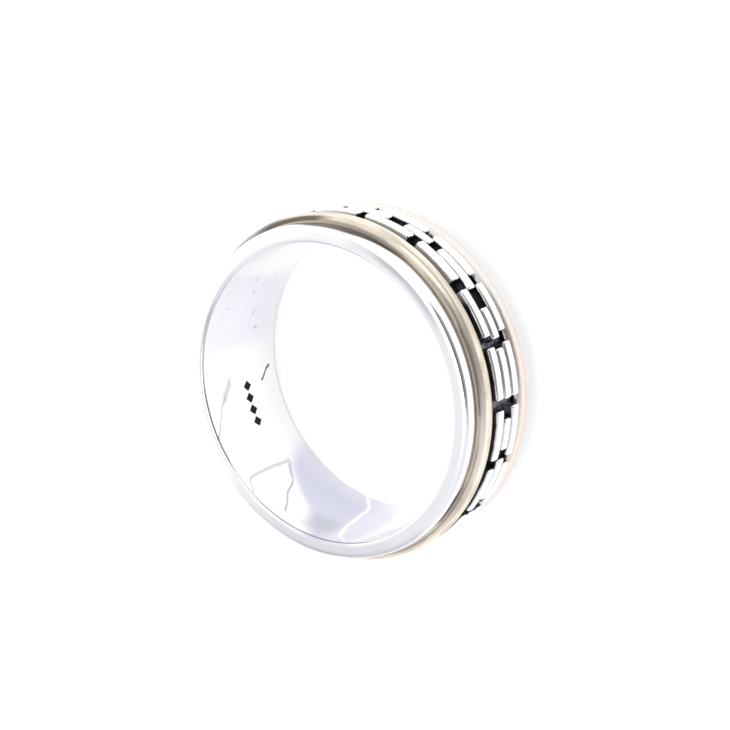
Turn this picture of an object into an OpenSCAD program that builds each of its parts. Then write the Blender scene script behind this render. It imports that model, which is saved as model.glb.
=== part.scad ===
// A band ring with three rings that turn on it, lying on its lower rim. All sizes are in millimetres.
// +Z runs up the axis of the bore. The origin is the centre of the bore at the lower rim.

/* [Band] */
// Inside diameter of the bore
bore_d = 20.2; // [15:0.1:24]
// Thickness of the band under the turning rings
band_wall = 0.65; // [0.5:0.05:1]
// Width of each lip along the axis
lip_w = 0.95; // [0.8:0.05:1.6]
// Height of each lip above the channel floor
lip_rise = 0.56; // [0.4:0.01:0.8]
// Radius of the outer corner of each lip at the rim
lip_round = 0.4; // [0.2:0.05:0.5]
// Radius that eases the edge of each lip over the channel
lip_ease = 0.15; // [0.05:0.01:0.2]
// Radius that eases each end of the bore
bore_ease = 0.2; // [0.05:0.01:0.3]

/* [Running clearance] */
// Gap between the channel floor and each turning ring
turn_gap = 0.07; // [0.04:0.01:0.1]
// Gap at each side of a turning ring
side_gap = 0.15; // [0.05:0.01:0.2]

/* [Gold rings] */
// Width of each gold ring
gold_w = 1.4; // [1:0.05:2]
// Thickness of a gold ring at its sides
gold_edge = 0.6; // [0.4:0.02:0.9]
// Height of the dome above the sides
gold_dome = 0.44; // [0.15:0.01:0.5]

/* [Brick ring] */
// Thickness of the backing that carries the bricks
backing = 0.4; // [0.3:0.05:0.8]
// Height of a brick above the backing
brick_h = 0.72; // [0.4:0.01:1]
// Width of a brick along the axis
brick_w = 0.83; // [0.6:0.01:1.4]
// Radius of the two long upper edges of a brick
brick_round = 0.24; // [0.1:0.02:0.28]
// Groove between two rows of bricks
row_groove = 0.105; // [0.06:0.005:0.2]
// Gap between the ends of two bricks, measured on their crests
end_gap = 0.64; // [0.3:0.02:1]
// The wider end gap of the middle row
wide_gap = 1.3; // [0.3:0.02:1.5]

/* [Mark] */
// Number of lozenges punched in the bore
marks = 4; // [1:1:6]
// Length of a lozenge along the axis
mark_l = 0.85; // [0.5:0.05:2]
// Width of a lozenge round the bore
mark_w = 0.8; // [0.3:0.05:1]
// Gap between the tips of two lozenges
mark_gap = 0.08; // [0.04:0.01:0.5]
// Depth of a lozenge below the bore
mark_depth = 0.08; // [0.04:0.01:0.15]
// Distance of the row of lozenges below the middle of the width
mark_drop = 0.5; // [-2:0.1:2]
// Direction of the row of lozenges seen from the axis, in degrees
mark_turn = 83; // [0:1:359]

/* [Hidden] */
$fn = 96;

// Rows of bricks from the lowest up. A row is a run of pairs of bricks, a long and a short one.
PAIRS = 0;
LONG_SHARE = 1;
TURN = 2;
GAP_BEFORE_LONG = 3;
GAP_BEFORE_SHORT = 4;
brick_rows = [
    // pairs, share of the long brick, direction of the first gap, gap before long, gap before short
    [9, 0.5, 6.2, end_gap, end_gap],
    [10, 0.575, 28.2, wide_gap, end_gap],
    [9, 0.5, 6.2, end_gap, end_gap],
];

bore_r = bore_d / 2;
floor_r = bore_r + band_wall;
lip_r = floor_r + lip_rise;
spinner_r = floor_r + turn_gap;
row_pitch = brick_w + row_groove;
bricks_w = len(brick_rows) * row_pitch - row_groove;
channel_w = 2 * gold_w + bricks_w + 4 * side_gap;
ring_w = channel_w + 2 * lip_w;
backing_r = spinner_r + backing;
crest_r = backing_r + brick_h;
// Depth by which a brick is let into its backing
sink = backing / 2;
// Extra length of a cutter past the face that it cuts
over = 1;

// Angle in degrees that a length spans on the crests of the bricks
function crest_angle(length) = length / crest_r * 180 / PI;

// What lies outside the arc in the corner of a profile, with the corner at the origin
module corner_waste(radius) {
    difference() {
        translate([-over, -over]) square(radius + over);
        translate([radius, radius]) circle(radius);
    }
}

// What is rounded off the band's section at the lower rim and at the lip above it
module rim_waste() {
    translate([bore_r, 0]) corner_waste(bore_ease);
    translate([lip_r, 0]) mirror([1, 0]) corner_waste(lip_round);
    translate([lip_r, lip_w]) rotate(180) corner_waste(lip_ease);
}

// Section of the band, with a lip at each rim and the channel between them
module band_section() {
    difference() {
        translate([bore_r, 0]) square([lip_r - bore_r, ring_w]);
        translate([floor_r, lip_w]) square([lip_rise + over, channel_w]);
        rim_waste();
        translate([0, ring_w]) mirror([0, 1]) rim_waste();
    }
}

// Lozenge punched into the wall of the bore, at the origin with the wall along +X
module lozenge() {
    rotate([0, 90, 0]) linear_extrude(mark_depth + over)
        polygon([[-mark_l / 2, 0], [0, -mark_w / 2], [mark_l / 2, 0], [0, mark_w / 2]]);
}

// Row of lozenges round the bore
module punched_marks() {
    step = (mark_w + mark_gap) / bore_r * 180 / PI;
    for (i = [0 : marks - 1])
        rotate([0, 0, mark_turn + (i - (marks - 1) / 2) * step])
            translate([bore_r - over, 0, ring_w / 2 - mark_drop]) lozenge();
}

module band() {
    color("gainsboro") difference() {
        rotate_extrude() band_section();
        punched_marks();
    }
}

// Domed section of a gold ring, with its lower side on the X axis
module gold_section() {
    dome_radius = (pow(gold_w / 2, 2) + pow(gold_dome, 2)) / (2 * gold_dome);
    intersection() {
        translate([spinner_r, 0]) square([gold_edge + gold_dome, gold_w]);
        translate([spinner_r + gold_edge + gold_dome - dome_radius, gold_w / 2]) circle(dome_radius);
    }
}

module gold_ring(bottom) {
    color("wheat") translate([0, 0, bottom]) rotate_extrude() gold_section();
}

module spinner_gold_lower() {
    gold_ring(lip_w + side_gap);
}

module spinner_gold_upper() {
    gold_ring(ring_w - lip_w - side_gap - gold_w);
}

// Section of a brick from inside the backing to its crest, with its lower side on the X axis
module brick_section() {
    foot_r = backing_r - sink;
    shoulder_r = crest_r - brick_round;
    translate([foot_r, 0]) square([shoulder_r - foot_r, brick_w]);
    translate([foot_r, brick_round]) square([crest_r - foot_r, brick_w - 2 * brick_round]);
    translate([shoulder_r, brick_round]) circle(brick_round);
    translate([shoulder_r, brick_w - brick_round]) circle(brick_round);
}

module brick(from, to) {
    rotate([0, 0, from]) rotate_extrude(angle = to - from) brick_section();
}

module brick_row(row) {
    pair = 360 / row[PAIRS];
    long_end = pair * row[LONG_SHARE];
    half_before_long = crest_angle(row[GAP_BEFORE_LONG]) / 2;
    half_before_short = crest_angle(row[GAP_BEFORE_SHORT]) / 2;
    for (i = [0 : row[PAIRS] - 1])
        rotate([0, 0, row[TURN] + i * pair]) {
            brick(half_before_long, long_end - half_before_short);
            brick(long_end + half_before_short, pair - half_before_long);
        }
}

module spinner_bricks() {
    color("silver") translate([0, 0, lip_w + gold_w + 2 * side_gap]) {
        rotate_extrude() translate([spinner_r, 0]) square([backing, bricks_w]);
        for (i = [0 : len(brick_rows) - 1])
            translate([0, 0, i * row_pitch]) brick_row(brick_rows[i]);
    }
}

band();
spinner_gold_upper();
spinner_bricks();
spinner_gold_lower();
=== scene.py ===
"""Looks of a silver band with three rings that turn on it, lying on its lower rim on a pale floor.

Shapes are worked out in millimetres, with +Z up the bore, and become metres as their meshes are made.
"""

import bpy
import numpy as np
from mathutils import Matrix, Vector


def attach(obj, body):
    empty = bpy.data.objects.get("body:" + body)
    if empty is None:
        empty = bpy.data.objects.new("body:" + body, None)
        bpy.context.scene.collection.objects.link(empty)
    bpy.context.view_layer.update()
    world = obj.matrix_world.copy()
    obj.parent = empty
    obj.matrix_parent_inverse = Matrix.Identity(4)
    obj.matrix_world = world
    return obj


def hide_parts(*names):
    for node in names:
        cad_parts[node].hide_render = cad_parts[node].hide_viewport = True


MM = 0.001

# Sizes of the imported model
BORE_R = 10.1
FLOOR_R = 10.75
LIP_R = 11.31
LIP_W = 0.95
LIP_ROUND = 0.4
LIP_EASE = 0.15
BORE_EASE = 0.2
RING_W = 8.0
SPINNER_R = 10.82
SIDE_GAP = 0.15
GOLD_W = 1.4
GOLD_EDGE = 0.6
GOLD_DOME = 0.44
BACKING_R = 11.22
BRICK_H = 0.72
CREST_R = BACKING_R + BRICK_H
BRICK_W = 0.83
BRICK_ROUND = 0.24
ROW_GROOVE = 0.105
ROW_PITCH = BRICK_W + ROW_GROOVE
END_GAP = 0.64
WIDE_GAP = 1.3
MARKS = 4
MARK_L = 0.85
MARK_W = 0.8
MARK_PITCH = MARK_W + 0.08
MARK_DEPTH = 0.08
MIDDLE_Z = RING_W / 2
MARK_Z = MIDDLE_Z - 0.5
MARK_TURN = 83.0
LOWER_GOLD_Z = LIP_W + SIDE_GAP
UPPER_GOLD_Z = RING_W - LOWER_GOLD_Z - GOLD_W
BRICKS_Z = LIP_W + GOLD_W + 2 * SIDE_GAP

# Run over which a lozenge reaches its depth
MARK_WALL = 0.05
# Radii that ease the outer edges of a gold ring and the inner edges of every turning ring
GOLD_EASE = 0.07
FOOT_EASE = 0.05
# Run over which the end of a bar rounds off, and over which its wall drops to the backing
END_ROUND = 0.12
WALL_RUN = 0.025
# Handwork: shares of its height by which a bar is lower and varies, and the sway of its sides and ends
WORN_SHARE = 0.012
WEAR = 0.008
SIDE_SWAY = 0.012
END_SWAY = 0.02
# Handwork: degrees by which an end gap is off its place, and millimetres by which it is off its width
GAP_SHIFT = 0.3
GAP_SPREAD = 0.06


def straight(start, end, step):
    """Points of a straight line from start to end, cut into equal steps no longer than step."""
    start, end = np.array(start), np.array(end)
    cuts = max(1, int(np.ceil(np.linalg.norm(end - start) / step)))
    return start + (end - start) * np.linspace(0, 1, cuts + 1)[:, None]


def arc(centre, radius, start, end, cuts):
    """Points of an arc: the centre plus the radius times the cosine and sine of angles in degrees."""
    turn = np.radians(np.linspace(start, end, cuts + 1))
    return np.array(centre) + radius * np.stack([np.cos(turn), np.sin(turn)], axis=1)


def outline(*parts):
    """Closed outline of a section from parts laid end to end, with the points that repeat left out."""
    points = np.concatenate(parts)
    keep = np.linalg.norm(points - np.roll(points, 1, axis=0), axis=1) > 1e-5
    return points[keep]


def columns(lines, step):
    """Directions round the ring in degrees: the given lines, and more where two lie over step apart."""
    lines = np.unique(np.round(np.mod(lines, 360), 4))
    gaps = np.diff(np.append(lines, lines[0] + 360))
    cuts = np.ceil(gaps / step).astype(int)
    start = np.repeat(lines, cuts)
    part = np.arange(cuts.sum()) - np.repeat(np.cumsum(cuts) - cuts, cuts)
    return start + part * np.repeat(gaps / cuts, cuts)


def turned(radius, height, turn):
    """Points in millimetres of a grid that runs along a section and round the axis.

    x is the radius times the cosine of the turn, y the radius times its sine, and z the height."""
    angle = np.radians(turn)
    return np.stack([radius * np.cos(angle), radius * np.sin(angle), height], axis=-1)


def closed_grid_faces(rows, steps):
    """Four corners of each cell of a grid that closes on itself along the section and round the axis."""
    row, step = np.meshgrid(np.arange(rows), np.arange(steps), indexing="ij")
    next_row, next_step = (row + 1) % rows, (step + 1) % steps
    corners = [
        row * steps + step,
        row * steps + next_step,
        next_row * steps + next_step,
        next_row * steps + step,
    ]
    return np.stack(corners, axis=-1).reshape(-1, 4)


def uneven(turn, size, waves, seed):
    """Small unevenness of handwork round the ring: a sum of sines of whole turns, with chance phases."""
    chance = np.random.default_rng(seed)
    counts = chance.choice(np.arange(waves // 3, waves), 6, replace=False)
    phases = chance.uniform(0, 2 * np.pi, 6)
    return size * np.sin(np.radians(turn)[..., None] * counts + phases).sum(axis=-1) / 3


def add_piece(name, points, body, node, finish):
    """Makes a piece from a grid of points, rides it on its body and stands it in for its node."""
    mesh = bpy.data.meshes.new(name)
    faces = closed_grid_faces(*points.shape[:2])
    mesh.from_pydata((points.reshape(-1, 3) * MM).tolist(), [], faces.tolist())
    mesh.polygons.foreach_set("use_smooth", np.ones(len(faces), dtype=bool))
    mesh.materials.append(finish)
    mesh.update()
    piece = bpy.data.objects.new(name, mesh)
    bpy.context.scene.collection.objects.link(piece)
    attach(piece, body)
    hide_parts(node)


def band_outline():
    """Section of the band: straight sides joined by quarter circles at the lips and the bore.

    It runs out along the lower rim, up over both lips and the channel, in along the upper rim and down
    the bore, where the steps are short beside the punched marks."""
    top = RING_W
    above_marks = MARK_Z + MARK_L / 2 + 0.1
    below_marks = MARK_Z - MARK_L / 2 - 0.1
    return outline(
        straight([BORE_R + BORE_EASE, 0], [LIP_R - LIP_ROUND, 0], 0.16),
        arc([LIP_R - LIP_ROUND, LIP_ROUND], LIP_ROUND, -90, 0, 9),
        arc([LIP_R - LIP_EASE, LIP_W - LIP_EASE], LIP_EASE, 0, 90, 5),
        straight([LIP_R - LIP_EASE, LIP_W], [FLOOR_R, LIP_W], 0.25),
        straight([FLOOR_R, LIP_W], [FLOOR_R, top - LIP_W], 0.8),
        straight([FLOOR_R, top - LIP_W], [LIP_R - LIP_EASE, top - LIP_W], 0.25),
        arc([LIP_R - LIP_EASE, top - LIP_W + LIP_EASE], LIP_EASE, -90, 0, 5),
        arc([LIP_R - LIP_ROUND, top - LIP_ROUND], LIP_ROUND, 0, 90, 9),
        straight([LIP_R - LIP_ROUND, top], [BORE_R + BORE_EASE, top], 0.16),
        arc([BORE_R + BORE_EASE, top - BORE_EASE], BORE_EASE, 90, 180, 5),
        straight([BORE_R, top - BORE_EASE], [BORE_R, above_marks], 0.3),
        straight([BORE_R, above_marks], [BORE_R, below_marks], 0.035),
        straight([BORE_R, below_marks], [BORE_R, BORE_EASE], 0.3),
        arc([BORE_R + BORE_EASE, BORE_EASE], BORE_EASE, 180, 270, 5),
    )


def punched_depth(turn, height):
    """Depth of the row of lozenges in the bore.

    Inside a lozenge the shares of its half width and half length that a point lies off its middle add
    up to less than one. What is left, times the slant size of the lozenge, is the distance to its edge,
    and the depth grows with it over a narrow wall and then stays."""
    along = np.radians(turn - MARK_TURN) * BORE_R
    first = (MARKS - 1) / 2
    nearest = np.clip(np.round(along / MARK_PITCH + first), 0, MARKS - 1) - first
    across_share = np.abs(along - nearest * MARK_PITCH) / (MARK_W / 2)
    length_share = np.abs(height - MARK_Z) / (MARK_L / 2)
    slant = MARK_W * MARK_L / 2 / np.hypot(MARK_W, MARK_L)
    edge = (1 - across_share - length_share) * slant
    return MARK_DEPTH * np.clip(edge / MARK_WALL, 0, 1)


def make_band(finish):
    """The band: its section turned round the axis, with the lozenges sunk into the bore."""
    section = band_outline()
    step, mark_step, mark_reach = 0.9, 0.2, 11
    fine = MARK_TURN + np.arange(-mark_reach, mark_reach, mark_step)
    turn = columns(np.concatenate([np.arange(0, 360, step), fine]), step)
    radius, height = section[:, :1], section[:, 1:]
    in_bore = (radius < BORE_R + 0.001) & (np.abs(height - MARK_Z) < MARK_L)
    depth = punched_depth(turn, height) * in_bore
    points = turned(radius + depth, height + 0 * turn, turn + 0 * height)
    add_piece("band_polished", points, "band", "band", finish)


def gold_outline():
    """Section of a gold ring: flat sides and a domed back whose edges are eased by small arcs.

    The dome's radius is (half the width squared plus the rise squared) over twice the rise. An easing
    arc touches a side and the dome, so its middle lies at the dome's radius less its own from the
    dome's middle."""
    half, ease, foot = GOLD_W / 2, GOLD_EASE, FOOT_EASE
    dome = (half**2 + GOLD_DOME**2) / (2 * GOLD_DOME)
    middle = SPINNER_R + GOLD_EDGE + GOLD_DOME - dome
    across = half - ease
    out = np.sqrt((dome - ease) ** 2 - across**2)
    lean = np.degrees(np.arctan2(across, out))
    inner = SPINNER_R + foot
    return outline(
        straight([inner, 0], [middle + out, 0], 0.3),
        arc([middle + out, ease], ease, -90, -lean, 5),
        arc([middle, half], dome, -lean, lean, 30),
        arc([middle + out, GOLD_W - ease], ease, lean, 90, 5),
        straight([middle + out, GOLD_W], [inner, GOLD_W], 0.3),
        arc([inner, GOLD_W - foot], foot, 90, 180, 3),
        straight([SPINNER_R, GOLD_W - foot], [SPINNER_R, foot], 0.5),
        arc([inner, foot], foot, 180, 270, 3),
    )


def make_gold_ring(node, bottom, finish):
    """A gold ring: its section lifted to its place and turned round the axis."""
    section = gold_outline()
    step = 0.75
    turn = np.arange(0, 360, step)
    radius, height = section[:, :1] + 0 * turn, section[:, 1:] + bottom
    points = turned(radius, height + 0 * turn, turn + 0 * height)
    add_piece(node + "_turned", points, node, node, finish)


def row_gaps(pairs, long_share, first, before_long, before_short, seed):
    """Middles and half widths in degrees of the end gaps of one row of bars.

    A row repeats a long and a short bar. Each gap is a little off its place and its width."""
    chance = np.random.default_rng(seed)
    starts = first + np.arange(pairs) * 360 / pairs
    middles = np.concatenate([starts, starts + long_share * 360 / pairs])
    widths = np.repeat([before_long, before_short], pairs)
    middles = middles + chance.uniform(-GAP_SHIFT, GAP_SHIFT, 2 * pairs)
    widths = widths + chance.uniform(-GAP_SPREAD, GAP_SPREAD, 2 * pairs)
    return middles, np.degrees(widths / CREST_R) / 2


def bar_height(from_end, from_side):
    """Height of a bar over the backing from the distances to its nearest end and side.

    The shares of the rounded run at an end and at a side that are used up are the legs of a right
    triangle. Up to one, their hypotenuse lowers the crest along a quarter of an ellipse, down to the
    shoulder, and past one the wall drops steeply to the backing."""
    end_share = np.clip(1 - from_end / END_ROUND, 0, None)
    side_share = np.clip(1 - from_side / BRICK_ROUND, 0, None)
    used = np.hypot(end_share, side_share)
    rounded = BRICK_H - BRICK_ROUND * (1 - np.sqrt(np.clip(1 - used**2, 0, None)))
    wall = np.clip(1 - (used - 1) * BRICK_ROUND / WALL_RUN, 0, 1)
    return rounded * wall


def make_bricks(finish):
    """The ring of raised bricks: one closed grid that runs along a side, over the rows and back inside.

    Across a row the lines follow the rounded shoulders of its bars, and round the ring they crowd at
    each end of a bar, so that the ends stay crisp."""
    step = 0.9
    rows = [
        row_gaps(9, 0.5, 6.2, END_GAP, END_GAP, 11),
        row_gaps(10, 0.575, 28.2, WIDE_GAP, END_GAP, 12),
        row_gaps(9, 0.5, 6.2, END_GAP, END_GAP, 13),
    ]
    per_mm = np.degrees(1 / CREST_R)
    quarter = np.radians(np.linspace(0, 90, 7))
    run = np.concatenate([[-0.03], END_ROUND * (1 - np.cos(quarter[::2])), [END_ROUND * 2]]) * per_mm
    lines = [
        middle + side * (half + run)
        for middles, halves in rows
        for middle, half in zip(middles, halves)
        for side in (-1, 1)
    ]
    turn = columns(np.concatenate(lines), step)

    shoulder = BRICK_ROUND * (1 - np.cos(quarter))
    crest = np.linspace(BRICK_ROUND, BRICK_W - BRICK_ROUND, 5)[1:-1]
    across = np.concatenate([shoulder, crest, BRICK_W - shoulder[::-1]])
    width = len(rows) * ROW_PITCH - ROW_GROOVE

    radius, height = [], []
    for number, (middles, halves) in enumerate(rows):
        off = np.mod(turn[:, None] - middles + 180, 360) - 180
        from_end = (np.abs(off) - halves).min(axis=1) / per_mm
        from_side = np.minimum(across, BRICK_W - across)
        rise = bar_height(from_end[None, :], from_side[:, None])
        wear = uneven(turn, WEAR, 40, 20 + number)
        radius.append(BACKING_R + rise * (1 - WORN_SHARE + wear))
        height.append(np.repeat(number * ROW_PITCH + across, len(turn)).reshape(len(across), -1))
        if number < len(rows) - 1:
            groove = number * ROW_PITCH + BRICK_W + np.array([WALL_RUN, ROW_GROOVE - WALL_RUN])
            radius.append(np.full((2, len(turn)), BACKING_R))
            height.append(np.repeat(groove, len(turn)).reshape(2, -1))
    radius, height = np.concatenate(radius), np.concatenate(height)

    side = np.array([0, 0.5, 0.85])[:, None]
    inner = SPINNER_R + FOOT_EASE
    corner = arc([inner, FOOT_EASE], FOOT_EASE, 180, 270, 3)
    flat = np.ones(len(turn))
    lower = inner + side[1:] * (radius[0] - inner)
    upper = inner + side[:0:-1] * (radius[-1] - inner)
    radius = np.concatenate([corner[:, :1] * flat, lower, radius, upper, corner[::-1, :1] * flat])
    low = np.zeros((2, len(turn)))
    high = np.full((2, len(turn)), width)
    height = np.concatenate([corner[:, 1:] * flat, low, height, high, width - corner[::-1, 1:] * flat])

    inside = np.sin(np.pi * height / width)
    height = height + uneven(turn, SIDE_SWAY, 24, 31) * inside
    sway = uneven(turn + 40 * height, END_SWAY, 30, 32) * per_mm * inside
    points = turned(radius, BRICKS_Z + height, turn + sway)
    add_piece("bricks_raised", points, "spinner_bricks", "spinner_bricks", finish)


class Wire:
    """A node's output, on which maths is written as on a number."""

    def __init__(self, finish, socket):
        self.finish = finish
        self.socket = socket

    def __add__(self, other):
        return self.finish.maths("ADD", self, other)

    def __sub__(self, other):
        return self.finish.maths("SUBTRACT", self, other)

    def __rsub__(self, other):
        return self.finish.maths("SUBTRACT", other, self)

    def __mul__(self, other):
        return self.finish.maths("MULTIPLY", self, other)

    def __truediv__(self, other):
        return self.finish.maths("DIVIDE", self, other)

    def __pow__(self, other):
        return self.finish.maths("POWER", self, other)

    def __abs__(self):
        return self.finish.maths("ABSOLUTE", self)

    __radd__ = __add__
    __rmul__ = __mul__


class Finish:
    """The node tree of a material or of the world.

    Lengths in it are in millimetres and directions in degrees."""

    def __init__(self, owner):
        owner.use_nodes = True
        self.owner = owner
        self.tree = owner.node_tree
        self.tree.nodes.clear()

    def node(self, kind, settings, values, out=None):
        """Makes a node. Its settings are set first, then its sockets, by name or in their order."""
        made = self.tree.nodes.new(kind)
        for name, setting in settings.items():
            if name == "stops":
                self.set_stops(made.color_ramp, setting)
            else:
                setattr(made, name, setting)
        open_sockets = [socket for socket in made.inputs if socket.enabled]
        if isinstance(values, dict):
            pairs = [(next(s for s in open_sockets if s.name == name), v) for name, v in values.items()]
        else:
            pairs = list(zip(open_sockets, values))
        for socket, value in pairs:
            if isinstance(value, Wire):
                self.tree.links.new(value.socket, socket)
            else:
                socket.default_value = value
        outputs = [socket for socket in made.outputs if socket.enabled and out in (None, socket.name)]
        return Wire(self, outputs[0]) if outputs else made

    def set_stops(self, ramp, stops):
        """Gives a colour ramp its stops, each a place and a colour, with a smooth run through them."""
        ramp.interpolation = "CARDINAL"
        while len(ramp.elements) < len(stops):
            ramp.elements.new(0.5)
        for element, (place, colour) in zip(ramp.elements, stops):
            element.position = place
            element.color = (*colour, 1)

    def maths(self, operation, *values):
        return self.node("ShaderNodeMath", {"operation": operation}, list(values))

    def most(self, *values):
        """The largest of the values."""
        largest = values[0]
        for value in values[1:]:
            largest = self.maths("MAXIMUM", largest, value)
        return largest

    def place(self):
        """The point on the surface, as x, y and z."""
        point = self.node("ShaderNodeTexCoord", {}, {}, "Object")
        parts = [self.node("ShaderNodeSeparateXYZ", {}, [point], axis) for axis in "XYZ"]
        return [part / MM for part in parts]

    def direction(self):
        """The direction seen in the surroundings, as x, y and z of length 1."""
        way = self.node("ShaderNodeTexCoord", {}, {}, "Generated")
        return [self.node("ShaderNodeSeparateXYZ", {}, [way], axis) for axis in "XYZ"]

    def radius(self, x, y):
        """Distance from the axis."""
        return (x * x + y * y) ** 0.5

    def turn(self, x, y):
        """Direction round the axis, from +X towards +Y."""
        return self.maths("ARCTAN2", y, x) * float(np.degrees(1))

    def grain(self, x, y, z, detail=2.0):
        """Soft chance pattern from 0 to 1 that changes about once in each unit of x, y and z."""
        point = self.node("ShaderNodeCombineXYZ", {}, [x, y, z])
        return self.node("ShaderNodeTexNoise", {}, {"Vector": point, "Scale": 1.0, "Detail": detail})

    def rise(self, value, low, high):
        """0 below low, 1 above high, and a smooth step in between."""
        return self.node("ShaderNodeMapRange", {"interpolation_type": "SMOOTHSTEP"},
                         {"Value": value, "From Min": low, "From Max": high})

    def window(self, value, low, high, fade):
        """1 between low and high and 0 outside, with a smooth step as long as fade at each end."""
        return self.rise(value, low - fade, low) * (1 - self.rise(value, high, high + fade))

    def blend(self, share, first, second):
        """The first colour where the share is 0 and the second where it is 1."""
        colours = [c if isinstance(c, Wire) else (*c, 1) for c in (first, second)]
        return self.node("ShaderNodeMix", {"data_type": "RGBA"},
                         {"Factor": share, "A": colours[0], "B": colours[1]})

    def course(self, height, stops):
        """Direction of a line in the bore, from its stops, each a height and a direction."""
        shades = [(place / RING_W, [turn / 180] * 3) for place, turn in stops]
        return self.node("ShaderNodeValToRGB", {"stops": shades}, [height / RING_W]) * 180

    def thin_line(self, turn, height, half, soft, stops):
        """1 on a line through its stops, half wide to each side, that fades over soft."""
        off = abs(turn - self.course(height, stops))
        return self.rise(half + soft - off, 0, soft) * self.window(height, stops[0][0], stops[-1][0], 0.2)

    def surface(self, colour, roughness, metallic, height=None, depth=0.0, glow=0.0):
        """Ends the tree in a shader, with height times depth as its bump."""
        values = {"Base Color": colour, "Roughness": roughness, "Metallic": metallic}
        values["Emission Strength"] = glow
        if height is not None:
            values["Normal"] = self.node("ShaderNodeBump", {}, {"Height": height, "Distance": depth * MM})
        shader = self.node("ShaderNodeBsdfPrincipled", {}, values)
        self.node("ShaderNodeOutputMaterial", {}, {"Surface": shader})
        return self.owner


def polished_silver():
    """Bright silver with fine rubbed lines, a haze of handling and dark punched marks.

    In the bore lie two soft patches of painted blue-grey reflection, a paler line of painted highlight
    across the lower one, a grey spot and a few thin dark lines and specks of painted reflection. Thin
    grey lines of painted reflection follow the edges of the rims and painted grey reflection dulls a
    stretch of them, and painted brown shade lies on two stretches of the upper lip beside the channel.
    The channel takes painted shade, brownish on its walls and near black on its floor by the bricks."""
    finish = Finish(bpy.data.materials.new("polished_silver"))
    x, y, z = finish.place()
    radius, turn = finish.radius(x, y), finish.turn(x, y)
    in_bore = finish.rise(BORE_R + 0.25 - radius, 0, 0.05)
    lines = finish.grain(x * 0.5, y * 0.5, (z + radius) * 22, 3.0)
    cloud = finish.grain(x * 0.3, y * 0.3, z * 0.4)
    waves = finish.grain(x * 0.35, y * 0.35, z * 0.3, 0.0)
    mottle = finish.grain(x * 1.5, y * 1.5, z * 1.5, 3.0)

    # Two soft patches of painted blue-grey reflection in the bore, one low between these edges and one on
    # the side
    low_edge = finish.course(z, [(0, 103), (2.9, 112), (4.5, 127), (6, 137), (7.7, 143)])
    high_edge = finish.course(z, [(0.2, 160), (4, 168), (7.8, 165)])
    low_patch = finish.rise(turn - low_edge, -3, 7) * finish.rise(high_edge - turn, -5, 4)
    low_patch = low_patch * (1 - finish.rise(turn, 146, 158) * 0.4)
    side_patch = finish.rise(turn + z * 1.4, 25, 33) * finish.rise(66 - turn, 0, 13)
    side_patch = side_patch * (0.8 + mottle * 0.4)
    # A paler line of painted highlight, where the painted reflection lifts off across the lower patch
    highlight_line_stops = [(0, 143), (1.5, 149.5), (3.5, 152), (5.5, 154), (7, 157.5), (7.8, 163)]
    paler_streak = finish.thin_line(turn, z, 0.35, 1.1, highlight_line_stops)
    # Painted blue-grey reflection of both patches, fainter low in the bore
    bore_reflection_paint = finish.most(low_patch, side_patch * 0.4) * (1 - paler_streak)
    bore_reflection_paint = bore_reflection_paint * (0.6 + finish.rise(z, 0, 2.5) * 0.4)
    # A grey spot of painted reflection in the bore
    slate = finish.window(turn, 142, 148, 8) * finish.window(z, 5.7, 6.5, 1.3) * (1 - paler_streak)
    # Thin dark lines of painted reflection in the bore
    reflection_lines = [
        # half width and soft run in degrees, share of dark, and stops of height and direction
        (0.3, 0.9, 0.4, [(2.9, 110.5), (5, 110), (7.2, 111), (7.75, 116)]),
        (0.2, 0.7, 0.55, [(2.95, 112.5), (3.8, 119), (5.4, 124), (6.9, 130)]),
        (0.8, 1.4, 0.35, [(2.7, 110.5), (3.5, 116.5)]),
        (0.25, 0.6, 0.6, [(6, 76.5), (6.9, 83), (7.9, 91)]),
        (1.3, 1.5, 0.4, [(5.3, 71.5), (6.2, 77.5)]),
        (0.4, 0.5, 1.0, [(0.9, 70.3), (1.3, 72), (1.8, 75)]),
    ]
    # Specks of painted dark reflection on the side of the bore
    specks = finish.rise(mottle, 0.66, 0.74) * finish.window(turn, 28, 52, 4)
    dark_reflection_paint = specks * 0.3
    for half, soft, share, stops in reflection_lines:
        dark_reflection_paint = finish.most(dark_reflection_paint, finish.thin_line(turn, z, half, soft, stops) * share)

    from_middle = abs(z - MIDDLE_Z)
    from_wall = from_middle - (MIDDLE_Z - LIP_W)
    sunk = finish.rise(radius, BORE_R + 0.01, BORE_R + 0.05) * in_bore
    sunk = sunk * finish.rise(MARK_L / 2 + 0.05 - abs(z - MARK_Z), 0, 0.05)
    # Painted shade in the channel, brownish on its walls and near black on its floor by the bricks and
    # under the gold; the punched marks are dark as well
    on_channel = finish.rise(0.03 - from_wall, 0, 0.06) * finish.rise(radius, BORE_R + 0.4, BORE_R + 0.5)
    by_bricks = 1 - finish.rise(from_middle, 1.9, 2.3)
    dark = finish.most(sunk, on_channel * by_bricks)

    # Painted brown shade on the upper lip beside the channel, darkest in two stretches
    on_upper_lip = finish.rise(radius, LIP_R - 0.4, LIP_R - 0.3) * finish.rise(z, 3, 5)
    wide = finish.most(finish.window(turn, -36, -24, 32), finish.window(turn, -153, -145, 8) * 0.65)
    lip_shade_paint = finish.rise(wide * 0.8 - from_wall, -0.08, 0.08) * finish.rise(wide, 0, 0.4) * on_upper_lip
    black = finish.most(finish.window(turn, -49, -41, 14), finish.rise(-140 - turn, 0, 4))
    lip_shade_colour = finish.blend(black, (0.12, 0.1, 0.08), (0.06, 0.05, 0.045))

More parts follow.
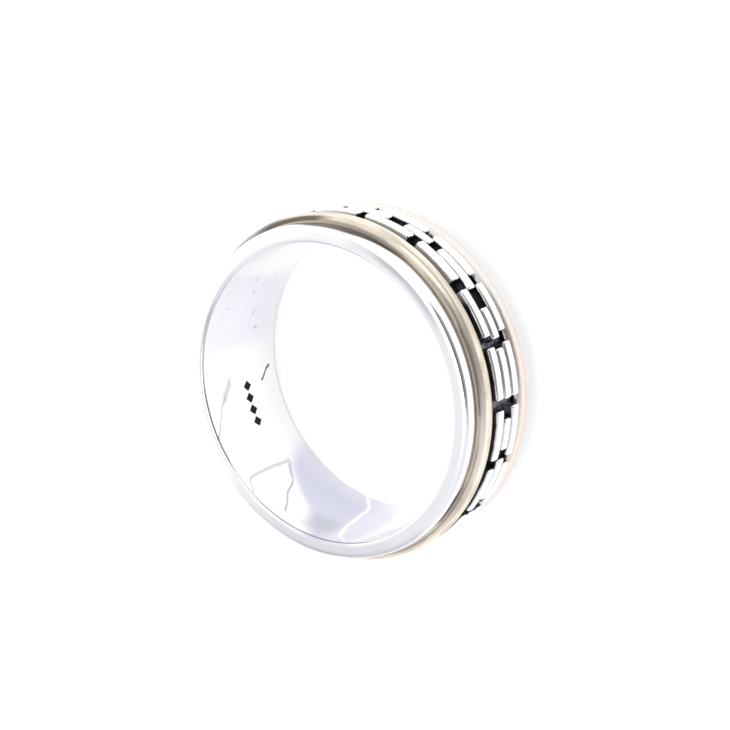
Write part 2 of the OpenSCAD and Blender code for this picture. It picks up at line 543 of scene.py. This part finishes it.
    # Painted grey reflection dulls stretches of the rims
    at_rim = finish.rise(from_middle, MIDDLE_Z - 0.45, MIDDLE_Z - 0.35) * (1 - in_bore)
    rim_reflection_grey = finish.rise(abs(turn + 12), 140, 160) * finish.rise(radius, BORE_R + 0.7, BORE_R + 1)
    rim_reflection_grey = rim_reflection_grey * (0.5 + mottle)
    rim_reflection_streak = finish.window(turn, -76, -54, 10) * finish.window(radius, BORE_R + 0.55, BORE_R + 0.75, 0.12)
    # Thin grey and dark lines of painted reflection along the edges of the rims
    inner_line = finish.window(radius, BORE_R + 0.06, BORE_R + 0.19, 0.04)
    inner_line = inner_line * finish.window(turn, 42, 112, 15)
    outer_line = finish.rise(radius, LIP_R - 0.17, LIP_R - 0.08) * finish.window(turn, 62, 140, 12)
    outer_line = outer_line * finish.rise(from_middle, 3.4, 3.6)
    low_line = finish.window(radius, BORE_R + 0.03, BORE_R + 0.07, 0.02) * finish.rise(z, 4, 6)
    low_line = low_line * finish.window(turn, 124, 170, 10)

    colour = finish.blend(cloud, (0.95, 0.945, 0.94), (0.9, 0.9, 0.92))
    # Layers of painted reflection and painted shade, over which the dark punched marks go last
    layers = [
        # share, and the colour that it brings
        (in_bore * bore_reflection_paint, (0.61, 0.615, 0.73)),
        (in_bore * slate * 0.6, (0.45, 0.46, 0.5)),
        (in_bore * dark_reflection_paint, (0.16, 0.155, 0.23)),
        (at_rim * (rim_reflection_grey * 0.55 + rim_reflection_streak * 0.4), (0.42, 0.42, 0.44)),
        (finish.most(inner_line, outer_line) * 0.7, (0.4, 0.4, 0.41)),
        (low_line * 0.72, (0.25, 0.25, 0.26)),
        (lip_shade_paint, lip_shade_colour),
        (on_channel, (0.78, 0.73, 0.67)),
        (dark, (0.02, 0.02, 0.025)),
    ]
    for share, shade in layers:
        colour = finish.blend(share, colour, shade)
    roughness = 0.08 + lines * 0.06 + cloud * 0.04 + dark * 0.3 + lip_shade_paint * 0.2
    height = lines * 0.02 + waves
    return finish.surface(colour, roughness, 1.0, height, 0.03)


def pale_gold():
    """Pale gold, mottled along its turning lines, its sides darkened towards the bricks by painted shade.

    Painted brown shade lines the edges beside the lips. A few streaks of painted highlight and painted
    dark reflection run round the upper ring, and painted grey shade dulls one stretch of it. The lower
    ring is painted brighter, with a paler stretch of painted reflection."""
    finish = Finish(bpy.data.materials.new("pale_gold"))
    x, y, z = finish.place()
    radius, turn = finish.radius(x, y), finish.turn(x, y)
    lines = finish.grain(x * 0.3, y * 0.3, z * 16, 3.0)
    tone = finish.rise(finish.grain(x * 0.35, y * 0.35, z * 2.2), 0.35, 0.65)
    foot = 1 - finish.rise(radius, SPINNER_R + GOLD_EDGE - 0.1, SPINNER_R + GOLD_EDGE + 0.02)
    on_upper = finish.rise(z, 3, 5)
    from_middle = abs(z - MIDDLE_Z)
    from_lip = MIDDLE_Z - LIP_W - SIDE_GAP - from_middle
    # Painted brown shade beside the lips, wider in two stretches
    lip_shade_paint = finish.most(
        finish.window(turn, -20, -3, 10) * finish.rise(0.3 - from_lip, 0, 0.16) * 1.15,
        finish.rise(0.07 - from_lip, 0, 0.06) * 0.7,
        finish.window(turn, -112, -88, 8) * finish.rise(0.075 - from_lip, 0, 0.045) * 1.15,
    )

    # The lower ring is painted brighter than the upper, with a paler stretch of painted reflection
    lower = finish.blend(finish.window(turn, -78, -12, 12), (0.78, 0.7, 0.63), (0.755, 0.722, 0.69))
    upper = finish.blend(tone, (0.76, 0.68, 0.57), (0.56, 0.5, 0.41))
    # Streaks of painted highlight, and of painted dark reflection where the share of bright is 0
    reflection_streaks = [
        # share of bright, direction from and to, height from and to
        (1.0, -78, -58, 6.66, 6.74),
        (1.0, -112, -84, 6.69, 6.79),
        (0.7, -135, -115, 6.42, 6.78),
        (1.0, -62, -40, 5.95, 6.2),
        (0.0, -82, -58, 6.52, 6.58),
        (0.0, -82, -70, 6.82, 6.88),
    ]
    for bright, west, east, low, high in reflection_streaks:
        share = finish.window(turn, west, east, 8) * finish.window(z, low, high, 0.06)
        shade = (0.46 + bright * 0.51, 0.42 + bright * 0.48, 0.36 + bright * 0.43)
        upper = finish.blend(share, upper, shade)

    grey = finish.blend(tone, (0.34, 0.33, 0.32), (0.13, 0.13, 0.13))
    # The flat sides carry painted shade, near black towards the bricks
    side = finish.blend(finish.rise(from_middle, 1.9, 2.5), (0.03, 0.025, 0.02), (0.8, 0.72, 0.6))
    colour = finish.blend(on_upper, lower, upper)
    # Painted grey shade dulls one stretch of the upper ring
    colour = finish.blend(finish.window(turn, -2, 20, 8) * on_upper * 0.9, colour, grey)
    colour = finish.blend(lip_shade_paint * 0.82, colour, (0.12, 0.1, 0.08))
    colour = finish.blend(foot, colour, side)
    roughness = 0.2 + lines * 0.1 + tone * 0.05 + foot * 0.3
    return finish.surface(colour, roughness, 1.0, lines, 0.004)


def oxidised_silver():
    """Bright rubbed crests over gaps that are black with oxide.

    The oxide is paler grey in one stretch of the gaps, and along another on the walls beside the gold."""
    finish = Finish(bpy.data.materials.new("oxidised_silver"))
    x, y, z = finish.place()
    radius, turn = finish.radius(x, y), finish.turn(x, y)
    patch = finish.grain(x * 2, y * 2, z * 2, 3.0)
    rubbed = finish.rise(radius + patch * 0.08, CREST_R - 0.165, CREST_R - 0.05)
    paler_streak = finish.window(turn, -117, -92, 3) * finish.window(z, 3.2, 5.2, 0.2)
    paler_streak = paler_streak * finish.rise(patch, 0.3, 0.7)
    wall = finish.window(turn, -76, -15, 6) * finish.rise(abs(z - MIDDLE_Z), 1.28, 1.33)
    oxide = finish.blend(patch, (0.008, 0.008, 0.01), (0.07, 0.07, 0.085))
    oxide = finish.blend(paler_streak * 0.6, oxide, (0.3, 0.31, 0.34))
    oxide = finish.blend(wall * 0.9, oxide, (0.6, 0.6, 0.62))
    crest = finish.blend(patch, (0.96, 0.955, 0.95), (0.87, 0.87, 0.88))
    colour = finish.blend(rubbed, oxide, crest)
    roughness = 0.42 - rubbed * 0.3 + wall * (1 - rubbed) * 0.25
    return finish.surface(colour, roughness, 1.0, patch, 0.01)


def pale_floor():
    """Plain pale light table, which glows a little."""
    finish = Finish(bpy.data.materials.new("pale_floor"))
    x, y, z = finish.place()
    tooth = finish.grain(x * 2, y * 2, z * 2)
    colour = finish.blend(tooth, (0.74, 0.74, 0.745), (0.76, 0.76, 0.76))
    return finish.surface(colour, 0.7, 0.0, glow=0.42)


def add_floor():
    """Plain square floor just under the lower rim."""
    mesh = bpy.data.meshes.new("floor")
    half, drop = 1.5, -0.00002
    corners = [(-half, -half, drop), (half, -half, drop), (half, half, drop), (-half, half, drop)]
    mesh.from_pydata(corners, [], [(0, 1, 2, 3)])
    mesh.materials.append(pale_floor())
    floor = bpy.data.objects.new("floor", mesh)
    bpy.context.scene.collection.objects.link(floor)


def aimed(place, towards, top):
    """Turn and place of a camera or light that stands at place and looks towards a direction."""
    back = -Vector(towards).normalized()
    right = Vector(top).cross(back).normalized()
    turn = Matrix((right, back.cross(right), back)).transposed()
    return Matrix.Translation(Vector(place)) @ turn.to_4x4()


def add_camera():
    """Camera at the photo's angle to the ring, with its picture turned as the photo's."""
    camera = bpy.data.cameras.new("camera")
    camera.sensor_width = 36
    camera.lens = 76.09
    camera.clip_start, camera.clip_end = 0.005, 10
    stand = bpy.data.objects.new("camera", camera)
    bpy.context.scene.collection.objects.link(stand)
    place = (0.000750, -0.065200, 0.085214)
    towards = (0.00029, 0.61859, -0.78572)
    top = (0.92814, -0.29264, -0.23005)
    stand.matrix_world = aimed(place, towards, top)
    bpy.context.scene.camera = stand


# Soft screens round the ring: directions in degrees, azimuth counted from +X towards +Y, the run over
# which an edge fades, and the light that each gives as red, green and blue
SCREENS = [
    # azimuth from, to, elevation from, to, fade, red, green, blue
    (-180, 180, 68, 91, 5, 3.2, 3.2, 3.2),
    (-181, -138, -5, 62, 8, 0.92, 0.91, 0.96),
    (118, 181, -5, 62, 8, 0.95, 0.95, 1.0),
    (103, 118, -5, 42, 6, 0.74, 0.74, 0.77),
    (-134, -76, 4, 66, 8, 0.72, 0.7, 0.72),
    (-126, -68, 30, 60, 7, 0.17, 0.165, 0.16),
    (-84, -74, 6, 42, 3, 0.35, 0.33, 0.33),
    (-116, -84, 2, 26, 8, 0.4, 0.4, 0.42),
    (86, 112, 51, 62, 6, 0.92, 0.91, 0.96),
    (79, 86, 55, 60, 2, 0.6, 0.6, 0.64),
    (96, 106, 40, 48, 3, 0.72, 0.72, 0.76),
]


def light_the_scene():
    """White surroundings with a brighter soft light overhead and a few soft grey screens.

    The screens light the ring and show in its reflections. The backdrop past the floor stays white."""
    world = bpy.data.worlds.new("surroundings")
    bpy.context.scene.world = world
    finish = Finish(world)
    x, y, z = finish.direction()
    azimuth = finish.turn(x, y)
    elevation = finish.maths("ARCSINE", z) * float(np.degrees(1))
    white = (1.15, 1.15, 1.15)
    light = white
    for west, east, low, high, fade, *shade in SCREENS:
        share = finish.window(azimuth, west, east, fade) * finish.window(elevation, low, high, fade)
        light = finish.blend(share, light, shade)
    backdrop = finish.node("ShaderNodeLightPath", {}, {}, "Is Camera Ray")
    light = finish.blend(backdrop, light, white)
    sky = finish.node("ShaderNodeBackground", {}, {"Color": light, "Strength": 1.0})
    finish.node("ShaderNodeOutputWorld", {}, {"Surface": sky})


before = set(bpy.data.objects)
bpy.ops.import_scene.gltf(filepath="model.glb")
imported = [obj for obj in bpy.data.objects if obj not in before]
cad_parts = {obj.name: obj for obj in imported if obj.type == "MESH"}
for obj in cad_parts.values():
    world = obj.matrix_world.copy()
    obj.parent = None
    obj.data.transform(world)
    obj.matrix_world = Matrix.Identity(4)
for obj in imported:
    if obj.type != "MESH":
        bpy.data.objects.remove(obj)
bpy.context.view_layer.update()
bpy.context.scene.view_settings.view_transform = "Standard"

add_camera()
light_the_scene()
add_floor()
make_band(polished_silver())
gold = pale_gold()
make_gold_ring("spinner_gold_lower", LOWER_GOLD_Z, gold)
make_gold_ring("spinner_gold_upper", UPPER_GOLD_Z, gold)
make_bricks(oxidised_silver())

bpy.context.view_layer.update()
